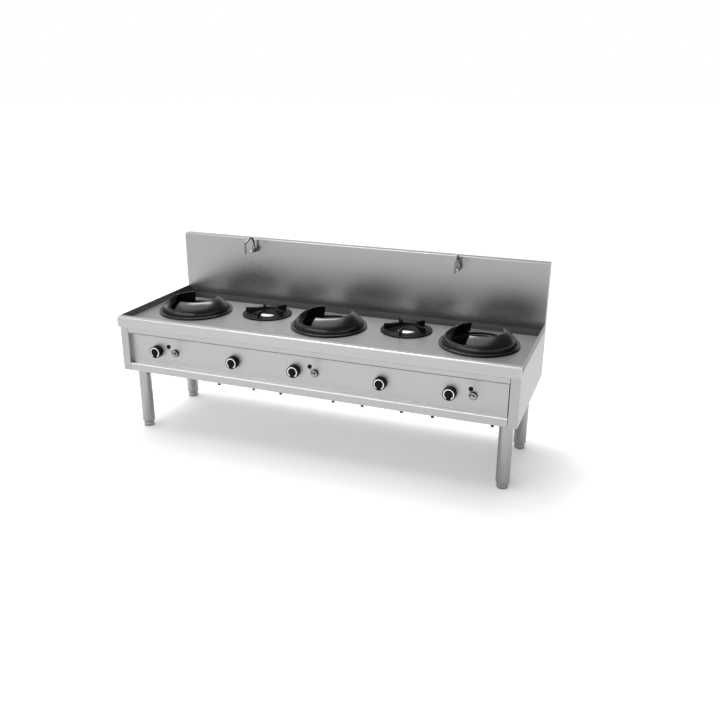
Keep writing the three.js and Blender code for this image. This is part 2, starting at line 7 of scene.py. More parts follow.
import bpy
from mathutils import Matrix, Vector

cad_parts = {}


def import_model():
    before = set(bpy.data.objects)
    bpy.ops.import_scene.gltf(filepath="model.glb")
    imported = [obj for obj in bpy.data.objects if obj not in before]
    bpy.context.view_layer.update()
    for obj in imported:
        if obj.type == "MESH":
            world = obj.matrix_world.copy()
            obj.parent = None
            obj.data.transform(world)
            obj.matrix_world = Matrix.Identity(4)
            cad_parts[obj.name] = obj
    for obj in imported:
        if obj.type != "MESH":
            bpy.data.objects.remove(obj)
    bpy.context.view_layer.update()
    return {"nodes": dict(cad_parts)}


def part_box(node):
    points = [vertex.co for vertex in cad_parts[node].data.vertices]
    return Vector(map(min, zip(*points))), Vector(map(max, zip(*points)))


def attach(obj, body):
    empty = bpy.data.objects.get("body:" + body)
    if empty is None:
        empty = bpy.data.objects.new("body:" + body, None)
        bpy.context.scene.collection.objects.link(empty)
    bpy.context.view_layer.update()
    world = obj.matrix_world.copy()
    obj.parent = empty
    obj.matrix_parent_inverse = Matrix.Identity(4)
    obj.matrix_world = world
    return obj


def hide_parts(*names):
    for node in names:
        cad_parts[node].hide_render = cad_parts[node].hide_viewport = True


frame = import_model()

import math

import bmesh
import bpy
from mathutils import Matrix, Vector

# ---- Measures, as in the CAD model ----

SIDE = 1200
FRONT, BACK = -425, 425
RIM_TOP, SPLASH_TOP, BODY_BOTTOM = 742, 1100, 400
FLOOR = 705
SHEET, GAP, FLANGE = 2, 0.3, 28
LIP_BACK, LIP_BOTTOM, SKIRT_BOTTOM = -385, 678, 694
BODY_FRONT = -403
SPLASH_FRONT, GUTTER_FRONT = 370, 237
RAIL_END = 1149
PANEL_FACE, PANEL_BOTTOM, PANEL_TOP = -373, 448, 637
STUD_SHARES = (-0.435, -0.23, -0.136, -0.064, 0.071, 0.143, 0.2375, 0.31, 0.445)
STUD_INSET = 20
KNOB_Z, WOK_KNOB_SHIFT, PAN_KNOB_SHIFT, LEVER_SHIFT = 538, 67, 4, 56
BALL_RADIUS = 12.5
RING_RADIUS, RING_HEIGHT, RING_Y = 225, 87, -28
TRIVET_RADIUS, TRIVET_HEIGHT, TRIVET_Y, TRIVET_FINS = 152, 41, 62, 5
WOK_HOLE, TRIVET_HOLE = RING_RADIUS - 57, TRIVET_RADIUS - 46
STEM_DEPTH = 150
TAP_X, TAP_Y, TAP_Z = 674.5, 342, 1031
SPOUT_SEAT, HANDLE_Y = TAP_Z + 31.3, TAP_Y - 10.5
SPOUT_REACH, SPOUT_RISE, SPOUT_RADIUS = 115, 58, 6
LEG_X, FRONT_LEG_Y, REAR_LEG_Y, LEG_PLATE = 1128, -300, 225, 50
BURNER_PITCH = 450
BURNERS = [(number, number % 2 == 1, (number - 3) * BURNER_PITCH) for number in range(1, 6)]

# Measures of the scene alone: the open seams, the roll of the ledge's edge, the angles between
# which a wok ring is cut away, slightly inside those of the CAD model, and which studs are black.
SEAM, ROLL = 1.8, 5
FRONT_NOTCH, REAR_NOTCH = (180.3, 259.3), (27.8, 122.2)
BLACK_STUDS = (1, 3, 7, 8)

# The CAD model is centred on its whole box, which the lever balls reach past the front edge.
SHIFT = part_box("front_lip")[0][1] * 1000 - FRONT

# ---- Mesh helpers ----


def rounded(points, radius, steps=4):
    """A closed outline with its corners rounded: one radius for all, or one for each."""
    radii = radius if isinstance(radius, (list, tuple)) else [radius] * len(points)
    out = []
    for i, corner in enumerate(points):
        here = Vector(corner)
        before = Vector(points[i - 1]) - here
        after = Vector(points[(i + 1) % len(points)]) - here
        size = min(radii[i], before.length * 0.49, after.length * 0.49)
        if size <= 0:
            out.append(tuple(here))
            continue
        before.normalize()
        after.normalize()
        half = before.angle(after) / 2
        reach = min(size / math.tan(half), size * 1.5) if half > 0.1 else size
        start, end = here + before * reach, here + after * reach
        for k in range(steps + 1):
            t = k / steps
            out.append(tuple(start * (1 - t) ** 2 + here * 2 * t * (1 - t) + end * t**2))
    return out


def mesh_object(name, bm):
    """A new object in the scene, from a mesh under construction."""
    bmesh.ops.recalc_face_normals(bm, faces=bm.faces)
    mesh = bpy.data.meshes.new(name)
    bm.to_mesh(mesh)
    bm.free()
    obj = bpy.data.objects.new(name, mesh)
    bpy.context.scene.collection.objects.link(obj)
    return obj


def drawn(name, outline, axis, low, high):
    """A closed outline drawn along an axis: (y, z) along x, (x, z) along y, (x, y) along z."""
    bm = bmesh.new()

    def place(a, b, c):
        return {"x": (c, a, b), "y": (a, c, b), "z": (a, b, c)}[axis]

    ends = [[bm.verts.new(place(a, b, c)) for a, b in outline] for c in (low, high)]
    count = len(outline)
    for i in range(count):
        j = (i + 1) % count
        bm.faces.new((ends[0][i], ends[0][j], ends[1][j], ends[1][i]))
    bm.faces.new(ends[0])
    bm.faces.new(reversed(ends[1]))
    return mesh_object(name, bm)


def block(name, x0, x1, y0, y1, z0, z1, radius=0):
    """An upright block. A radius rounds its four upright edges."""
    outline = rounded([(x0, y0), (x1, y0), (x1, y1), (x0, y1)], radius)
    return drawn(name, outline, "z", z0, z1)


def turned(name, outline, segments, at=(0, 0, 0), facing=False):
    """An outline of (radius, height) turned about z, or about the line towards the front."""
    bm = bmesh.new()
    rows = []
    for radius, height in outline:
        if radius < 1e-6:
            rows.append([bm.verts.new((0, 0, height))])
            continue
        turns = [2 * math.pi * k / segments for k in range(segments)]
        spots = [(radius * math.cos(t), radius * math.sin(t), height) for t in turns]
        rows.append([bm.verts.new(spot) for spot in spots])
    closed = len(rows[0]) > 1
    pairs = list(zip(rows, rows[1:] + ([rows[0]] if closed else [])))
    for one, two in pairs[: None if closed else len(rows) - 1]:
        for k in range(segments):
            n = (k + 1) % segments
            corners = [one[k % len(one)], one[n % len(one)], two[n % len(two)], two[k % len(two)]]
            unique = list(dict.fromkeys(corners))
            if len(unique) > 2:
                bm.faces.new(unique)
    obj = mesh_object(name, bm)
    if facing:
        obj.data.transform(Matrix.Rotation(math.radians(90), 4, "X"))
    obj.data.transform(Matrix.Translation(at))
    return obj


def swept(name, path, radii, segments):
    """A round bar along a path, with a radius for each point and flat ends."""
    bm = bmesh.new()
    points = [Vector(p) for p in path]
    side = None
    rings = []
    for i, point in enumerate(points):
        ahead = (points[min(i + 1, len(points) - 1)] - points[max(i - 1, 0)]).normalized()
        if side is None:
            side = ahead.orthogonal().normalized()
        side = (side - ahead * side.dot(ahead)).normalized()
        other = ahead.cross(side)
        ring = []
        for k in range(segments):
            t = 2 * math.pi * k / segments
            ring.append(bm.verts.new(point + (side * math.cos(t) + other * math.sin(t)) * radii[i]))
        rings.append(ring)
    for one, two in zip(rings, rings[1:]):
        for k in range(segments):
            n = (k + 1) % segments
            bm.faces.new((one[k], one[n], two[n], two[k]))
    bm.faces.new(reversed(rings[0]))
    bm.faces.new(rings[-1])
    return mesh_object(name, bm)


def curve_points(control, count):
    """Points evenly along a smooth curve through the control points."""
    out = []
    padded = [control[0], *control, control[-1]]
    spans = len(control) - 1
    for i in range(count):
        place = i / (count - 1) * spans
        k = min(int(place), spans - 1)
        t = place - k
        a, b, c, d = [Vector(p) for p in padded[k : k + 4]]
        square = 2 * a - 5 * b + 4 * c - d
        cube = 3 * b - a - 3 * c + d
        out.append(0.5 * (2 * b + (c - a) * t + square * t**2 + cube * t**3))
    return out


def combined(base, others, operation):
    """The base piece with the others cut from it or joined to it."""
    for other in others:
        step = base.modifiers.new("step", "BOOLEAN")
        step.operation = operation
        step.solver = "EXACT"
        step.object = other
    graph = bpy.context.evaluated_depsgraph_get()
    mesh = bpy.data.meshes.new_from_object(base.evaluated_get(graph))
    base.modifiers.clear()
    base.data = mesh
    for other in others:
        bpy.data.objects.remove(other)
    return base


def cut(base, *others):
    """The base piece less the others."""
    return combined(base, others, "DIFFERENCE")


def join(base, *others):
    """The base piece and the others as one closed piece."""
    return combined(base, others, "UNION")


def piece(obj, body, material, nodes=(), bevel=0, steps=2, angle=32):
    """Scales a piece to metres, rounds its edges, and puts it on its body."""
    scale = Matrix.Diagonal((0.001, 0.001, 0.001, 1)) @ Matrix.Translation((0, SHIFT, 0))
    obj.data.transform(scale)
    obj.data.materials.clear()
    obj.data.materials.append(material)
    for face in obj.data.polygons:
        face.use_smooth = True
        face.material_index = 0
    obj.data.set_sharp_from_angle(angle=math.radians(angle))
    if bevel:
        edge = obj.modifiers.new("edge", "BEVEL")
        edge.width = bevel / 1000
        edge.segments = steps
        edge.limit_method = "ANGLE"
        edge.angle_limit = math.radians(angle)
        edge.use_clamp_overlap = True
    normals = obj.modifiers.new("normals", "WEIGHTED_NORMAL")
    normals.keep_sharp = True
    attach(obj, body)
    if nodes:
        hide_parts(*nodes)


def mirror(obj):
    """Turns a right-hand piece into a left-hand one."""
    obj.data.transform(Matrix.Diagonal((-1, 1, 1, 1)))
    obj.data.flip_normals()


def end_spans():
    """From where to where along x the sheets at the left and right ends reach."""
    return [sorted((hand * SIDE, hand * (SIDE - SHEET))) for hand in (-1, 1)]


def knob_x(wok, x):
    """Where a burner's knob stands: left of its middle, and further left on a wok burner."""
    return x - (WOK_KNOB_SHIFT if wok else PAN_KNOB_SHIFT)


# ---- Materials ----


class Finish:
    """A procedural material: a base shader with noise in its colour, gloss and surface."""

    def __init__(self, name, roughness, metallic):
        self.material = bpy.data.materials.new(name)
        self.material.use_nodes = True
        self.nodes = self.material.node_tree.nodes
        self.links = self.material.node_tree.links
        self.shader = self.nodes["Principled BSDF"]
        self.shader.inputs["Roughness"].default_value = roughness
        self.shader.inputs["Metallic"].default_value = metallic
        self.place = self.nodes.new("ShaderNodeTexCoord").outputs["Object"]

    def noise(self, scale, detail, stretch=(1, 1, 1), rough=0.55):
        mapping = self.nodes.new("ShaderNodeMapping")
        mapping.inputs["Scale"].default_value = stretch
        self.links.new(self.place, mapping.inputs["Vector"])
        node = self.nodes.new("ShaderNodeTexNoise")
        node.inputs["Scale"].default_value = scale
        node.inputs["Detail"].default_value = detail
        node.inputs["Roughness"].default_value = rough
        self.links.new(mapping.outputs["Vector"], node.inputs["Vector"])
        return node.outputs["Fac"]

    def spread(self, value, low, high, start=0.3, end=0.7):
        node = self.nodes.new("ShaderNodeMapRange")
        node.inputs["From Min"].default_value = start
        node.inputs["From Max"].default_value = end
        node.inputs["To Min"].default_value = low
        node.inputs["To Max"].default_value = high
        self.links.new(value, node.inputs["Value"])
        return node.outputs["Result"]

    def combine(self, kind, a, b):
        node = self.nodes.new("ShaderNodeMath")
        node.operation = kind
        for socket, value in zip(node.inputs, (a, b)):
            if isinstance(value, (int, float)):
                socket.default_value = value
            else:
                self.links.new(value, socket)
        return node.outputs["Value"]

    def colour(self, factor, *stops):
        ramp = self.nodes.new("ShaderNodeValToRGB")
        while len(ramp.color_ramp.elements) < len(stops):
            ramp.color_ramp.elements.new(0.5)
        for element, (position, colour) in zip(ramp.color_ramp.elements, stops):
            element.position = position
            element.color = (*colour, 1)
        self.links.new(factor, ramp.inputs["Fac"])
        self.links.new(ramp.outputs["Color"], self.shader.inputs["Base Color"])

    def rough(self, value):
        self.links.new(value, self.shader.inputs["Roughness"])

    def bump(self, value, distance, strength):
        node = self.nodes.new("ShaderNodeBump")
        node.inputs["Distance"].default_value = distance
        node.inputs["Strength"].default_value = strength
        self.links.new(value, node.inputs["Height"])
        self.links.new(node.outputs["Normal"], self.shader.inputs["Normal"])


def grey(value, tint=(1, 1, 1)):
    """A linear grey of this value, or the same with a tint."""
    return tuple(value * part for part in tint)


def brushed(name, value, roughness, along, streak=0.02, grain=0.00003):
    """Steel with fine grain lines that run along one axis, and faint cloudy smears."""
    finish = Finish(name, roughness, 1)
    stretch = {"x": (0.01, 1, 1), "y": (1, 0.01, 1), "z": (1, 1, 0.01)}[along]
    fine = finish.noise(1500, 2, stretch, 0.7)
    broad = finish.noise(320, 2, stretch, 0.6)
    cloud = finish.noise(2.2, 4)
    lines = finish.combine("MULTIPLY", fine, 0.75)
    lines = finish.combine("ADD", lines, finish.combine("MULTIPLY", broad, 0.25))
    shade = finish.combine(
        "ADD",
        finish.combine("MULTIPLY", lines, 0.6),
        finish.combine("MULTIPLY", cloud, 0.4),
    )
    finish.colour(shade, (0.3, grey(value - streak)), (0.7, grey(value + streak)))
    finish.rough(
        finish.combine(
            "ADD",
            finish.spread(fine, roughness - 0.03, roughness + 0.03),
            finish.spread(cloud, -0.02, 0.02),
        )
    )
    finish.bump(lines, grain, 1)
    return finish.material


def cast_iron(name, low, high, roughness, shine):
    """Satin black casting: fine sand texture, slightly worn and paler on its edges."""
    finish = Finish(name, roughness, 0.0)
    finish.shader.inputs["Specular IOR Level"].default_value = shine
    sand = finish.noise(520, 5, rough=0.6)
    patch = finish.noise(22, 4)
    worn = finish.nodes.new("ShaderNodeNewGeometry").outputs["Pointiness"]
    edge = finish.spread(worn, 0, 0.5, 0.52, 0.62)
    shade = finish.combine("ADD", finish.combine("MULTIPLY", patch, 0.8), edge)
    finish.colour(shade, (0.2, grey(low)), (0.6, grey(high)), (1.0, grey(high * 2.2)))
    finish.rough(
        finish.combine(
            "ADD",
            finish.spread(sand, -0.02, 0.02),
            finish.spread(patch, roughness - 0.01, roughness + 0.015),
        )
    )
    finish.bump(sand, 0.00009, 0.5)
    return finish.material


def plastic(name, low, high, roughness, shine):
    """Black plastic or rubber with a fine grain."""
    finish = Finish(name, roughness, 0.0)
    finish.shader.inputs["Specular IOR Level"].default_value = shine
    grain = finish.noise(1500, 3)
    patch = finish.noise(45, 3)
    finish.colour(patch, (0.3, grey(low)), (0.75, grey(high)))
    finish.rough(finish.spread(patch, roughness - 0.05, roughness + 0.08))
    finish.bump(grain, 0.00008, 0.5)
    return finish.material


def polished(name, value, roughness, tint=(1, 1, 1)):
    """Plated or polished metal with faint water marks."""
    finish = Finish(name, roughness, 1)
    marks = finish.noise(60, 4)
    finish.colour(marks, (0.3, grey(value - 0.03, tint)), (0.7, grey(value + 0.02, tint)))
    finish.rough(finish.spread(marks, roughness * 0.6, roughness * 1.6))
    finish.bump(finish.noise(300, 2), 0.00003, 0.4)
    return finish.material


# Painted light and shade: these brushed steels are one stainless finish, given different base greys
# so each surface matches the light and shade it shows. The tray, splash, sides, legs and feet are
# darker than the front, the ledge is far paler and the gutter far darker.
STEEL = brushed("brushed_steel_front", 0.45, 0.46, "x")
STEEL_LIP = brushed("brushed_steel_lip", 0.45, 0.29, "x")
STEEL_TOP = brushed("brushed_steel_tray_painted_shade", 0.255, 0.46, "x", grain=0.0001)
STEEL_SPLASH = brushed("brushed_steel_splash_painted_shade", 0.36, 0.3, "x")
# Painted highlight: the ledge's steel is far paler than the other steels, for the bright light
# along the ledge.
STEEL_LEDGE_LIT = brushed("brushed_steel_ledge_painted_highlight", 0.8, 0.3, "x")
STEEL_SIDE = brushed("brushed_steel_side", 0.405, 0.32, "y")
STEEL_UPRIGHT = brushed("brushed_steel_upright_painted_shade", 0.375, 0.2, "z")
STEEL_FOOT = brushed("brushed_steel_feet", 0.36, 0.3, "z")
STEEL_INNER = brushed("plain_steel_inner", 0.46, 0.5, "x", 0.04)
# Painted shade: the gutter's steel is far darker than the rest, for the shade in the gutter behind
# the tray.
STEEL_GUTTER_SHADED = brushed("steel_gutter_painted_shade", 0.22, 0.5, "x", 0.04)
# The bolt ends get a much darker grey than the body's steel.
STEEL_BOLTS = brushed("dark_grey_steel_bolts", 0.16, 0.45, "z", 0.04)
# Painted shade: the pots are near black and dull, so the inside of each burner hole reads as dark
# as shade.
WELL = cast_iron("near_black_well_painted_shade", 0.003, 0.006, 0.6, 0.2)
IRON = cast_iron("cast_iron_satin", 0.005, 0.008, 0.24, 0.5)
IRON_DARK = cast_iron("cast_iron_supports", 0.002, 0.004, 0.42, 0.1)
IRON_BURNER = cast_iron("cast_iron_burner", 0.004, 0.009, 0.65, 0.2)
RUBBER = plastic("black_rubber", 0.008, 0.014, 0.6, 0.3)
BLACK = plastic("black_knob_plastic", 0.002, 0.005, 0.42, 0.12)
# Painted reflection: real chrome is far brighter; these chromes get low greys, the taps' the
# lowest, to stand in for the dark surroundings they reflect.
CHROME = polished("chrome_plating", 0.42, 0.12)
CHROME_PAINTED_DARK = polished("chrome_painted_dark_reflection", 0.21, 0.1)
SILVER = polished("silver_ring", 0.9, 0.35)
# Painted highlight: the pale finish of the half plates on the pan burners.
PALE_PLATE = polished("pale_plate_painted_highlight", 0.7, 0.55)
BRASS = polished("brass_cock", 0.6, 0.28, (1, 0.78, 0.42))

# ---- Tray, gutter and splash ----


def front_lip():
    """The rolled front edge of the tray, with closed ends."""
    fold, hem = BODY_FRONT + 8, LIP_BOTTOM + 18
    section = [
        (fold, LIP_BOTTOM),
        (FRONT, LIP_BOTTOM),
        (FRONT, RIM_TOP),
        (LIP_BACK, RIM_TOP),
        (LIP_BACK, hem),
        (LIP_BACK - SHEET, hem),
        (LIP_BACK - SHEET, RIM_TOP - SHEET),
        (FRONT + SHEET, RIM_TOP - SHEET),
        (FRONT + SHEET, LIP_BOTTOM + SHEET),
        (fold, LIP_BOTTOM + SHEET),
    ]
    radii = [0, 3, 8.5, 6, 0, 0, 4, 6.5, 1, 0]
    whole = drawn("front_lip", rounded(section, radii, 8), "x", -SIDE + 1, SIDE - 1)
    outline = [(FRONT, LIP_BOTTOM), (FRONT, RIM_TOP), (LIP_BACK, RIM_TOP), (LIP_BACK, LIP_BOTTOM)]
    outline = rounded(outline, [3, 8.5, 6, 0], 8)
    ends = [drawn("end", outline, "x", x0, x1) for x0, x1 in end_spans()]
    piece(join(whole, *ends), "frame", STEEL_LIP, ["front_lip"], 0.8, 3)


def tray():
    """The tray as one sheet: floor, rear fold and side rims, with a round hole at each burner."""
    front = LIP_BACK + GAP
    section = [
        (front, FLOOR - SHEET),
        (front, FLOOR),
        (GUTTER_FRONT, FLOOR),
        (GUTTER_FRONT, SKIRT_BOTTOM),
        (GUTTER_FRONT - SHEET, SKIRT_BOTTOM),
        (GUTTER_FRONT - SHEET, FLOOR - SHEET),
    ]
    sheet = drawn("tray", rounded(section, [0, 0, 3, 0, 0, 1], 6), "x", -SIDE + 1, SIDE - 1)
    rims = [
        block("rim", x0, x1, front, SPLASH_FRONT - GAP, SKIRT_BOTTOM, RIM_TOP)
        for x0, x1 in end_spans()
    ]
    whole = join(sheet, *rims)
    holes = []
    for _, wok, x in BURNERS:
        radius = WOK_HOLE if wok else TRIVET_HOLE
        y = RING_Y if wok else TRIVET_Y
        outline = [(0, FLOOR - 20), (radius, FLOOR - 20), (radius, FLOOR + 20), (0, FLOOR + 20)]
        holes.append(turned("hole", outline, 96, (x, y, 0)))
    whole = cut(whole, *holes)
    piece(whole, "frame", STEEL_TOP, ["worktop", "left_rim", "right_rim"], 0.5)


def splash():
    """The splashback: a front sheet folded over the top, with closed ends."""
    section = [
        (SPLASH_FRONT, FLOOR - SHEET),
        (SPLASH_FRONT + SHEET, FLOOR - SHEET),
        (SPLASH_FRONT + SHEET, SPLASH_TOP - SHEET),
        (BACK - SHEET, SPLASH_TOP - SHEET),
        (BACK - SHEET, SPLASH_TOP - 25),
        (BACK, SPLASH_TOP - 25),
        (BACK, SPLASH_TOP),
        (SPLASH_FRONT, SPLASH_TOP),
    ]
    outline = rounded(section, [0, 0, 2, 1, 0, 0, 3, 5], 8)
    sheet = drawn("splash", outline, "x", -SIDE + 1, SIDE - 1)
    corners = [
        (SPLASH_FRONT, SKIRT_BOTTOM + GAP),
        (BACK, SKIRT_BOTTOM + GAP),
        (BACK, SPLASH_TOP),
        (SPLASH_FRONT, SPLASH_TOP),
    ]
    outline = rounded(corners, [0, 0, 3, 5], 8)
    ends = [drawn("end", outline, "x", x0, x1) for x0, x1 in end_spans()]
    whole = join(sheet, *ends)
    piece(whole, "frame", STEEL_SPLASH, ["backsplash"], 0.5)


# ---- Body ----


def side_panel(hand, name):
    """One side: outer sheet with a rounded front corner, stile, return and bottom flange."""
    low, top = BODY_BOTTOM, LIP_BOTTOM - GAP
    section = [
        (SIDE, BACK),
        (SIDE, BODY_FRONT),
        (RAIL_END, BODY_FRONT),
        (RAIL_END, PANEL_FACE - GAP),
        (RAIL_END + SHEET, PANEL_FACE - GAP),
        (RAIL_END + SHEET, BODY_FRONT + SHEET),
        (SIDE - SHEET, BODY_FRONT + SHEET),
        (SIDE - SHEET, BACK),
    ]
    outline = rounded(section, [0, 3, 2, 0, 0, 0.8, 1, 0], 5)
    whole = drawn("side", outline, "z", low, SKIRT_BOTTOM - SEAM)
    x0, x1, y0, y1 = RAIL_END - 10, SIDE + 10, BODY_FRONT - 10, LIP_BACK + GAP
    whole = cut(whole, block("corner", x0, x1, y0, y1, top, SKIRT_BOTTOM + 5))
    x0, x1, y0, y1 = SIDE - FLANGE, SIDE - 1, BODY_FRONT + 1, BACK - 0.5
    whole = join(whole, block("flange", x0, x1, y0, y1, low, low + SHEET))
    if hand < 0:
        mirror(whole)
    whole.name = name
    piece(whole, "frame", STEEL_SIDE, [name], 0.5)


def rails():
    """The upper rail over the control panel, and the lower rail with its ledge."""
    end = RAIL_END - SEAM
    top = LIP_BOTTOM - GAP
    upper = [
        (BODY_FRONT, PANEL_TOP),
        (PANEL_FACE - GAP, PANEL_TOP),
        (PANEL_FACE - GAP, PANEL_TOP + 1.6),
        (BODY_FRONT + 9, PANEL_TOP + 1.6),
        (BODY_FRONT + 9, top - SHEET),
        (BODY_FRONT + 14, top - SHEET),
        (BODY_FRONT + 14, top),
        (BODY_FRONT, top),
        (BODY_FRONT, PANEL_TOP + 4.6),
        (BODY_FRONT + 7, PANEL_TOP + 4.6),
        (BODY_FRONT + 7, PANEL_TOP + 1.6),
        (BODY_FRONT, PANEL_TOP + 1.6),
    ]
    radii = [0.6, 0, 0, 0, 0, 0, 0, 3, 1, 0, 0, 0.6]
    rail = drawn("upper_rail", rounded(upper, radii, 5), "x", -end, end)
    piece(rail, "frame", STEEL, ["top_rail"], 0.4)
    lower = [
        (BODY_FRONT, BODY_BOTTOM),
        (BODY_FRONT + 36, BODY_BOTTOM),
        (BODY_FRONT + 36, BODY_BOTTOM + SHEET),
        (BODY_FRONT + SHEET, BODY_BOTTOM + SHEET),
        (BODY_FRONT + SHEET, PANEL_BOTTOM - SHEET),
        (PANEL_FACE - GAP, PANEL_BOTTOM - SHEET),
        (PANEL_FACE - GAP, PANEL_BOTTOM - 0.6),
        (BODY_FRONT + 0.2, PANEL_BOTTOM - 0.6),
        (BODY_FRONT + 0.2, PANEL_BOTTOM - ROLL),
        (BODY_FRONT, PANEL_BOTTOM - ROLL),
    ]
    radii = [3, 0, 0, 1, 1, 0, 0, ROLL - 1, 0, 0]
    rail = drawn("lower_rail", rounded(lower, radii, 5), "x", -end, end)
    piece(rail, "frame", STEEL, ["bottom_rail"], 0.4)
    # Painted highlight: the top of the ledge is a separate strip in the pale ledge steel, standing
    # in for the bright light along it.
    face = [
        (BODY_FRONT, PANEL_BOTTOM - ROLL),
        (BODY_FRONT, PANEL_BOTTOM + 0.5),
        (PANEL_FACE - 2 * GAP, PANEL_BOTTOM + 0.5),
        (PANEL_FACE - 2 * GAP, PANEL_BOTTOM - 0.8),
        (BODY_FRONT + 1.3, PANEL_BOTTOM - 0.8),
        (BODY_FRONT + 1.3, PANEL_BOTTOM - ROLL),
    ]
    radii = [0, ROLL, 0.3, 0, ROLL - 1.3, 0]
    ledge = drawn("ledge_strip_painted_highlight", rounded(face, radii, 8), "x", -end, end)
    piece(ledge, "frame", STEEL_LEDGE_LIT)
    nut = [(0, -18), (7.6, -18), (9.6, -16.6), (9.6, -9.4), (7.6, -8)]
    thread = [(5, -8), (5, 0.5), (0, 0.5)]
    for number, share in enumerate(STUD_SHARES):
        at = (share * 2 * SIDE, BODY_FRONT + STUD_INSET, BODY_BOTTOM)
        stud = turned(f"stud_{number + 1}", nut + thread, 6, at)
        piece(stud, "frame", RUBBER if number in BLACK_STUDS else STEEL_BOLTS)


def control_panel():
    """The recessed sheet. It stops short of the right stile, where the photo has a dark line."""
    x0, x1 = -RAIL_END - 12, RAIL_END - 9
    z0, z1 = PANEL_BOTTOM - 12, PANEL_TOP + 12
    panel = block("panel", x0, x1, PANEL_FACE, PANEL_FACE + SHEET, z0, z1)
    holes = []
    for _, wok, x in BURNERS:
        spots = [(knob_x(wok, x), 5)] + ([(x + LEVER_SHIFT, 13)] if wok else [])
        for spot, radius in spots:
            outline = [(0, -10), (radius, -10), (radius, 10), (0, 10)]
            holes.append(turned("hole", outline, 32, (spot, PANEL_FACE, KNOB_Z), True))
    piece(cut(panel, *holes), "frame", STEEL, ["control_panel"], 0.3)


# ---- Legs and feet ----


def legs():
    """Four round legs under plates, each with a screwed foot on a rubber pad."""
    tube = [(8.6, 35), (36.6, 35), (38, 36.4), (38, 407), (35.5, 407), (35.5, 49), (8.6, 49)]
    disc = [(0, 3.6), (29, 3.6), (31, 5.6), (31, 26), (30, 29), (27, 31), (12, 33.4)]
    screw = [(8, 34), (8, 89), (0, 89)]
    sole = [(0, 0), (25, 0), (28, 0.6), (29.4, 1.8), (29.4, 3), (28.4, 3.5), (0, 3.5)]
    corners = {
        "front_left": (-LEG_X, FRONT_LEG_Y),
        "front_right": (LEG_X, FRONT_LEG_Y),
        "rear_left": (-LEG_X, REAR_LEG_Y),
        "rear_right": (LEG_X, REAR_LEG_Y),
    }
    for corner, (x, y) in corners.items():
        leg = turned(f"{corner}_tube", tube, 72, (x, y, 0))
        half = LEG_PLATE
        plate = block("plate", x - half, x + half, y - half, y + half, 405.7, 409.7, 6)
        piece(join(leg, plate), "frame", STEEL_UPRIGHT, [f"{corner}_leg"], 0.4)
        glide = turned(f"{corner}_glide", disc + screw, 56, (x, y, 0))
        piece(glide, f"{corner}_foot", STEEL_FOOT, [f"{corner}_foot"])
        pad = turned(f"{corner}_pad", sole, 56, (x, y, 0))
        piece(pad, f"{corner}_foot", RUBBER)


# ---- Burners ----


def wedge(radius, start, end, z0, z1, at):
    """An upright slice of a disc, between two angles in degrees."""
    points = [(0, 0)]
    for k in range(25):
        t = math.radians(start + (end - start) * k / 24)
        points.append((radius * math.cos(t), radius * math.sin(t)))
    obj = drawn("wedge", points, "z", z0, z1)
    obj.data.transform(Matrix.Translation(at))
    return obj


def wok_ring(number, x):
    """A cast ring with a ridged flange, cut away at the front left and at the back.

    It is made in the middle of the range and moved afterwards, so all three come out alike. The
    tools that cut it have 130 facets to its 144, so few of their corners meet.
    """
    r, h = RING_RADIUS, RING_HEIGHT
    profile = [
        (r - 44, 0),
        (r - 1, 0),
        (r, 1),
        (r, 10),
        (r - 2, 12),
        (r - 5, 12),
        (r - 6.2, 9.8),
        (r - 7.4, 12),
        (r - 11, 12),
        (r - 12.2, 9.8),
        (r - 13.4, 12),
        (r - 17, 12),
        (r - 19, 9),
        (r - 20, 6),
        (r - 21, 10),
        (r - 22, 18),
        (r - 24, 34),
        (r - 29, 41),
        (r - 37, 49.8),
        (r - 45, 57.8),
        (r - 53, h - 22.8),
        (r - 62, h - 14.5),
        (r - 73, h - 8),
        (r - 82, h - 3),
        (r - 91, h),
        (r - 94, h - 0.3),
        (r - 95, h - 2),
        (r - 90, h - 13),
        (r - 83, h - 27),
        (r - 79, h - 40),
        (r - 76, h - 53),
        (r - 60, 22),
        (r - 44, 12),
    ]
    at = (0, RING_Y, FLOOR + GAP)
    ring = turned(f"wok_ring_{number}_casting", profile, 144, at)
    inner, over = r - 130, h + 20
    rising = [(inner, 3), (r + 10, 66), (r + 10, over), (inner, over)]
    slope = turned("slope", rising, 130, at)
    front = combined(slope, [wedge(r + 30, *FRONT_NOTCH, 0, h + 30, at)], "INTERSECT")
    flat = [(inner, 12.6), (r - 19.6, 12.6), (r - 19.6, over), (inner, over)]
    level = turned("level", flat, 130, at)
    rear = combined(level, [wedge(r + 30, *REAR_NOTCH, 0, h + 30, at)], "INTERSECT")
    ring = cut(ring, front, rear)
    ring.data.transform(Matrix.Translation((x, 0, 0)))
    piece(ring, f"wok_ring_{number}", IRON, [f"wok_ring_{number}"], 1.6, 3, 40)


